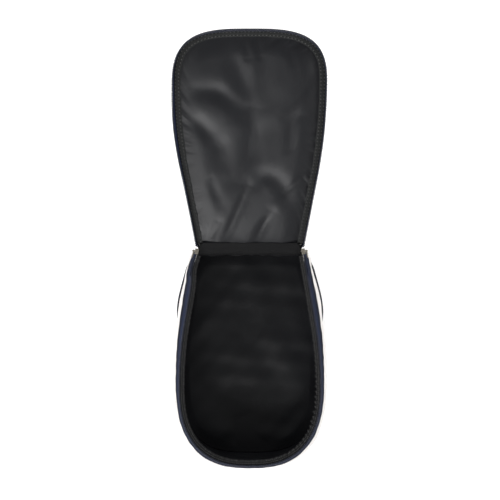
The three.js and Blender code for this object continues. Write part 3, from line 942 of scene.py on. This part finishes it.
def make_body_lining():
    bottom = low("wall_lining", 2) - 0.6
    rows = densify([(LINING_INSET, bottom), (LINING_INSET, RIM_Z)], 3.0)
    mesh = swept(body_place, strip_section(rows, LINING), ALL[::2], closed=True,
                 wobble=wall_lining_relief)
    cloth = put("wall_lining_cloth", "body", SATIN, mesh, ["wall_lining"])
    cells = 110
    x, u = panel_grid("back", 6.2, cells)
    edge = np.minimum(1, (1 - square_reach(cells)[2]) * 9)
    waves = 1.1 * ripple(x, u, 95, 61) + 0.45 * ripple(x, u, 34, 63)
    z = FLOOR_LINING_Z - 0.3 + edge * np.clip(1.0 + waves, 0, None)
    mesh = panel_mesh(body_world(x, u, z))
    cloth = put("back_lining_cloth", "body", SATIN, mesh, ["back_lining"])
    thicken(cloth, 0.7, subdivide=1)


# ---- lid ----------------------------------------------------------------------------------------------

# Folds of the slack lid lining: points (x, s) along each valley, its half width and its depth.
LID_FOLDS = [
    ([(-24, 296), (-14, 258), (-2, 220)], 15, 2.7),
    ([(-90, 238), (-50, 237), (-30, 224), (-4, 200)], 13, 2.2),
    ([(-100, 210), (-70, 186), (-46, 160)], 13, 2.3),
    ([(-50, 172), (-40, 140), (-36, 112)], 20, 2.4),
    ([(8, 210), (2, 152), (-16, 104)], 13, 1.7),
    ([(14, 216), (6, 160), (2, 110)], 32, 3.0),
    ([(26, 298), (20, 260), (14, 216)], 15, 1.7),
    ([(94, 262), (70, 232), (50, 200)], 8, 1.0),
    ([(90, 208), (64, 194), (57, 154)], 8, 1.1),
    ([(50, 86), (70, 102), (90, 120)], 6, 1.3),
    ([(-44, 0), (-22, 48), (-2, 96)], 8, 2.0),
    ([(-8, 80), (16, 110), (44, 102), (68, 54)], 13, 1.8),
    ([(2, -4), (20, 34), (33, 56)], 8, 2.3),
    ([(-68, 0), (-48, 40)], 7, 1.4),
    ([(-58, 106), (-43, 68)], 8, 1.0),
    ([(-8, 316), (-3, 286)], 6, 1.2),
    ([(10, 316), (13, 288)], 6, 1.0),
    ([(48, 314), (62, 280)], 7, 1.2),
]
LID_SLACK = 4.0


def fold_depth(x, s, points, width, depth):
    """A soft valley along a smooth line, fading out at both ends."""
    line = smooth_line(points, 4.0)
    gaps = np.hypot(x[..., None] - line[:, 0], s[..., None] - line[:, 1])
    nearest = gaps.min(axis=-1)
    pull = np.exp((nearest[..., None] - gaps) / 5)
    share = (pull * np.linspace(0, 1, len(line))).sum(axis=-1) / pull.sum(axis=-1)
    fade = np.sin(math.pi * (0.1 + 0.8 * share))
    return depth * fade * np.exp(-((nearest / width) ** 2))


def edge_distance(x, s):
    """Distance in mm to the lid's sewn edge, from a coarse set of its points."""
    loop = OUTLINES["lid"][0][::6]
    loop = loop[loop[:, 1] > 1]
    return np.hypot(x[..., None] - loop[:, 0], s[..., None] - loop[:, 1]).min(axis=-1)


def lid_lining_height(x, s):
    """Height of the slack lining over its seam."""
    total = LID_SLACK + 0.3 * ripple(x, s, 130, 71) + 0.08 * ripple(x, s, 34, 73)
    for fold in LID_FOLDS:
        total = total - fold_depth(x, s, *fold)
    total = np.where(total > 0.5, total, 0.5 * np.exp(2 * (total - 0.5)))
    total = total + 1.2 * np.exp(-((s / 12) ** 2))
    distance = edge_distance(x, s)
    inside = np.clip((distance - 8.5) / 30, 0, 1)
    inside = np.sin(inside * math.pi / 2) ** 1.3
    around = np.arctan2(x, s - 160) * 150
    leaning = around + 0.6 * distance
    uneven = 0.55 + 0.45 * ripple(around, 0 * x, 170, 89)
    gathers = uneven * np.exp(-(((distance - 13) / 8) ** 2))
    gathers = gathers * (0.3 * ripple(leaning, 0 * x, 15, 79) + 0.12 * ripple(leaning, 0 * x, 7, 83))
    return inside * total + gathers


def make_lid_lining():
    x, s = panel_grid("lid", 5.0, 220)
    height = LID_LINING_H + lid_lining_height(x, s).clip(-0.2)
    mesh = panel_mesh(lid_world(x, s, height))
    cloth = put("lid_lining_cloth", "lid", SATIN, mesh, ["lid_lining"])
    thicken(cloth, 0.6)


def make_lid_binding():
    """Grosgrain over the lid's inner seam, with a row of stitches along each edge."""
    outer, inner = 1.3, 9.4
    centre = densify([(outer, LID_BINDING_H), (inner, LID_BINDING_H)], 0.9)
    stations = right_to_left(ZIP_START + 2)

    def wobble(along, inset, h):
        depth = np.clip((inset - outer) / (inner - outer), 0, 1)
        flutter = 0.55 * np.sin(2 * math.pi * along / 7.3) + 0.5 * ripple(along, 0 * along, 12, 91)
        crown = 1.0 * np.sin(depth * math.pi)
        return inset + 0.45 * depth**3 * flutter, h + crown + 0.3 * depth**2 * flutter

    mesh = swept(lid_place, strip_section(centre, 1.1), stations, wobble=wobble)
    put("lid_binding_tape", "lid", GROSGRAIN, mesh, ["lid_binding"])
    up = (0, -math.sin(LID_TILT), math.cos(LID_TILT))
    rows = [(0.2, 0, GREY_THREAD, 0.42), (0.78, 0, GREY_THREAD, 0.42), (0.78, 3, DARK_THREAD, 0.6)]
    for index, (share, shift, thread, radius) in enumerate(rows):
        at = stations[shift:]
        inset = np.full(len(at), outer + share * (inner - outer))
        inset, h = wobble(at * ARC_STEP, inset, np.full(len(at), LID_BINDING_H))
        stitches(f"lid_binding_stitches_{index + 1}", "lid", thread,
                 lid_place(at, inset, h + 0.55), up, 5.2, radius, 0.42, lean=0.25)


def make_lid_edge():
    stations = right_to_left(ZIP_START)
    centre = densify([(TAPE_INSET, h) for h in LID_TAPE], 0.9)

    def wobble(along, inset, h):
        loose = np.clip((h - LID_TAPE[0]) / 6, 0, 1)
        return inset - 0.5 * loose * ripple(along, 0 * along, 60, 97), h

    mesh = swept(lid_place, strip_section(centre, TAPE), stations, wobble=wobble)
    put("lid_tape", "lid", ZIP_TAPE, mesh, ["lid_zip_tape"])
    mesh = coil_teeth(lid_place, LID_EDGE - 0.7, stations)
    put("lid_coil", "lid", COIL, mesh, ["lid_zip_coil"])
    mesh = swept(lid_place, cord_section(0.8, LID_PIPING_H), ALL[::2], closed=True)
    put("lid_piping_cord", "lid", PIPING, mesh, ["lid_piping"])


def make_lid_shell():
    cells = 90
    x, s = panel_grid("lid", 0.9, cells)
    reach = square_reach(cells)[2]
    crown = 3.2 * (1 - reach**2.2) + 0.5 * (1 - reach) * ripple(x, s, 110, 101)
    mesh = panel_mesh(lid_world(x, s, LID_SHELL_H - crown))
    skin = put("lid_skin", "lid", LEATHERETTE, mesh, ["lid_shell"])
    thicken(skin, 1.6, subdivide=1)
    mesh = panel_mesh(lid_world(*panel_grid("lid", 3.6, 40), LID_FOAM_H))
    pad = put("lid_padding", "lid", FOAM, mesh, ["lid_foam"])
    thicken(pad, 3.8)
    down = (0, math.sin(LID_TILT), -math.cos(LID_TILT))
    stitches("lid_skin_stitches", "lid", WHITE_THREAD,
             lid_place(ALL, 6.5, LID_SHELL_H - 1.35), down, 3.6, 0.34)


# ---- hinge strips, which bend between the body and the lid ------------------------------------------------

def hinge_strip(name, material, profile, half_lengths, thickness, nodes):
    """A strip along the hinge. Its section follows (y, z) points relative to the hinge line, and
    half_lengths gives its half length at places across the hinge, as (y, half length) points."""
    line = smooth_line(profile, 1.2)
    section = strip_section(line, thickness)
    half = np.interp(section[:, 0], *zip(*half_lengths))
    across = np.linspace(-1, 1, 101)[:, None]
    x = across * half[None, :]
    loose = np.clip((section[None, :, 1] + 15) / 8, 0, 1)
    y = section[None, :, 0] + 0.4 * loose * ripple(x, section[None, :, 0] * 3, 34, 111)
    z = section[None, :, 1] + 0.3 * loose * ripple(x, section[None, :, 0], 46, 113)
    points = np.stack([x, HINGE[1] + y, HINGE[2] + z], axis=-1)
    strip = put(name, None, material, grid_mesh(points), nodes)
    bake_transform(strip)
    return strip


def lid_profile(s, h):
    """A lid point (s, h) as (y, z) relative to the hinge line."""
    return (s * math.cos(LID_TILT) - h * math.sin(LID_TILT),
            s * math.sin(LID_TILT) + h * math.cos(LID_TILT))


def make_hinge():
    inner = [(-7.0, -27), (-7.0, -15), (-6.2, -8.8), (-3.4, -5.6), (0.6, -4.8),
             lid_profile(3.4, -5.6), lid_profile(6, -5.6), lid_profile(9, -6.2)]
    # The lining strip uses the painted-shade copy of the lining cloth, darker and duller than the satin beside
    # it.
    lining = hinge_strip("hinge_lining_strip", HINGE_SHADE_CLOTH, inner,
                         [(2.7, 76.5), (3.6, 78.6), (5.2, 78.2), (8.5, 71)], 0.9,
                         ["hinge_lining_body", "hinge_lining_lid"])
    outer = [(0.9, -27), (0.9, -15), (1.6, -10.5), (4.6, -10.2), (6.6, -13.4),
             lid_profile(3, -19.5), lid_profile(7, -19.6), lid_profile(13, -19.8)]
    spine = hinge_strip("hinge_spine_strip", NAVY_CLOTH, outer, [(0, 75)], 1.0,
                        ["hinge_spine_body", "hinge_spine_lid"])


# ---- carry handle -------------------------------------------------------------------------------------------

def make_handle():
    """A rolled strap that hangs in a bow; its ends flatten into the patches."""
    pivot = np.array(JOINTS["handle_swing"]["pos_m"]) / MM
    patch_y = low("handle_patch_right", 1)
    patch_x = (low("handle_patch_right", 0) + high("handle_patch_right", 0)) / 2
    grip_y = (low("handle_grip", 1) + high("handle_grip", 1)) / 2
    bottom = (low("handle_grip", 2) + high("handle_grip", 2)) / 2
    grip_half = high("handle_grip", 0)
    bow = [(1, 0), (1, 0.35), (0.9, 0.72), (0.66, 0.93), (0.33, 1)]
    right = [
        (patch_x, patch_y + 0.3, pivot[2] + 14),
        (patch_x, patch_y - 0.9, pivot[2] + 8),
    ]
    for across, down in bow:
        reach = pivot[1] + (grip_y - pivot[1]) * down
        right.append((across * patch_x, reach, pivot[2] + (bottom - pivot[2]) * down))
    route = np.array([*right, *[(-a, b, c) for a, b, c in reversed(right)]])
    path = smooth_line(route, 1.5)
    above = np.clip((path[:, 2] - pivot[2] + 4) / 12, 0, 1)
    flatten = np.column_stack([1 + 1.3 * above, 1 - 0.6 * above])
    mesh = tube_mesh(path, STRAP_RADIUS, 20, flatten)
    rope = put("handle_rope", None, WEBBING, mesh, ["handle_strap"])
    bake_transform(rope)
    x = np.linspace(grip_half, -grip_half, 41)
    radius = (high("handle_grip", 2) - low("handle_grip", 2)) / 2
    rounded = np.minimum(1, 0.72 + (grip_half - abs(x)) / 5)
    line = np.column_stack([x, np.full(41, grip_y), np.full(41, bottom)])
    scale = rounded[:, None] * np.ones((1, 2))
    mesh = tube_mesh(line, radius, 24, scale)
    put("handle_sleeve", "handle", LEATHERETTE, mesh, ["handle_grip"])
    stitches("handle_sleeve_stitches", "handle", WHITE_THREAD,
             line[2:-2] + (0, radius + 0.1, 0), (0, 1, 0), 2.8, 0.3)


def make_patches():
    """Each handle patch: a soft rectangle with a boxed cross of stitches."""
    upwards = np.array([0, 0, 1])
    for label, side in (("right", 1), ("left", -1)):
        node = f"handle_patch_{label}"
        lowest, highest = (np.array(corner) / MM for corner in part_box(node))
        width, depth, height = highest - lowest
        lean = math.atan2(depth - 1.6, width)
        centre = (lowest + highest) / 2
        along = np.array([math.cos(lean), side * math.sin(lean), 0])
        out = np.array([side * math.sin(lean), -math.cos(lean), 0])
        half_w, half_h = width / 2 - 0.5, height / 2
        t = np.linspace(0, 2 * math.pi, 96, endpoint=False)
        power = 2 / 7
        loop_a = half_w * np.sign(np.cos(t)) * abs(np.cos(t)) ** power
        loop_z = half_h * np.sign(np.sin(t)) * abs(np.sin(t)) ** power
        grid = patch_grid(np.column_stack([loop_a, loop_z]), np.zeros(2), 24)
        puff = 0.5 * (1 - square_reach(24)[2] ** 4)
        points = centre + grid[..., :1] * along + puff[..., None] * out + grid[..., 1:] * upwards
        mesh = panel_mesh(points)
        thicken(put(f"handle_anchor_{label}", "body", WEBBING, mesh, [node]), 1.5)
        a, h = half_w - 2.2, half_h - 2.4
        square = [(-a, -h), (a, -h), (a, h), (-a, h), (-a, -h), (a, h)]
        lines = [*zip(square, square[1:]), ((a, -h), (-a, h))]
        for index, ends in enumerate(lines):
            flat = densify(ends, 1.5)
            world = centre + flat[:, :1] * along + flat[:, 1:] * upwards + 1.15 * out
            stitches(f"handle_anchor_stitches_{label}_{index + 1}", "body", NAVY_THREAD,
                     world, out, 2.6, 0.28)


# ---- sliders and pullers: the CAD pieces, finished ------------------------------------------------------------

def soften(node, material, width):
    """A CAD piece with its edges rounded, in place of the sharp one."""
    mesh = frame["nodes"][node].data.copy()
    mesh.materials.clear()
    bodies = frame["record"]["behaviour"]["bodies"]
    body = next(name for name, nodes in bodies.items() if node in nodes)
    piece = put(f"{node}_cast", body, material, mesh, [node])
    bevel = piece.modifiers.new("edges", "BEVEL")
    bevel.width = width * MM
    bevel.segments = 3
    bevel.limit_method = "ANGLE"


def make_tab_stitches(side):
    """A row of stitches along both long edges of a pull tab's outer face."""
    corners = np.array([v.co for v in frame["nodes"][f"pull_tab_{side}"].data.vertices]) / MM
    middle = corners.mean(axis=0)
    near = corners[corners[:, 1] > middle[1]]
    far = corners[corners[:, 1] < middle[1]]
    ends = [end[np.argmax(abs(end[:, 0]))] for end in (near, far)]
    outwards = np.array([math.copysign(1, middle[0]), 0, 0])
    for index, rise in enumerate((-1.7, 1.7)):
        line = densify([(x, y, middle[2] + rise) for x, y, _ in ends], 1.0)[2:-2]
        stitches(f"pull_tab_stitches_{side}_{index + 1}", f"puller_{side}", NAVY_THREAD,
                 line + 0.1 * outwards, outwards, 2.4, 0.25)


def make_sliders():
    for side in ("right", "left"):
        soften(f"zip_slider_{side}", NICKEL, 0.35)
        soften(f"pull_link_{side}", NICKEL, 0.3)
        soften(f"pull_tab_{side}", WEBBING, 0.7)
        make_tab_stitches(side)


def finish_hidden():
    """The stiffener boards stay as the CAD made them, with their own material."""
    for node in ("back_board", "base_board"):
        data = frame["nodes"][node].data
        data.materials.clear()
        data.materials.append(BOARD)


make_wall_skins()
make_wall_stitches()
make_back()
make_side_piping()
make_padding()
make_body_zip()
make_rim_binding()
make_body_lining()
make_lid_lining()
make_lid_binding()
make_lid_edge()
make_lid_shell()
make_hinge()
make_handle()
make_patches()
make_sliders()
finish_hidden()
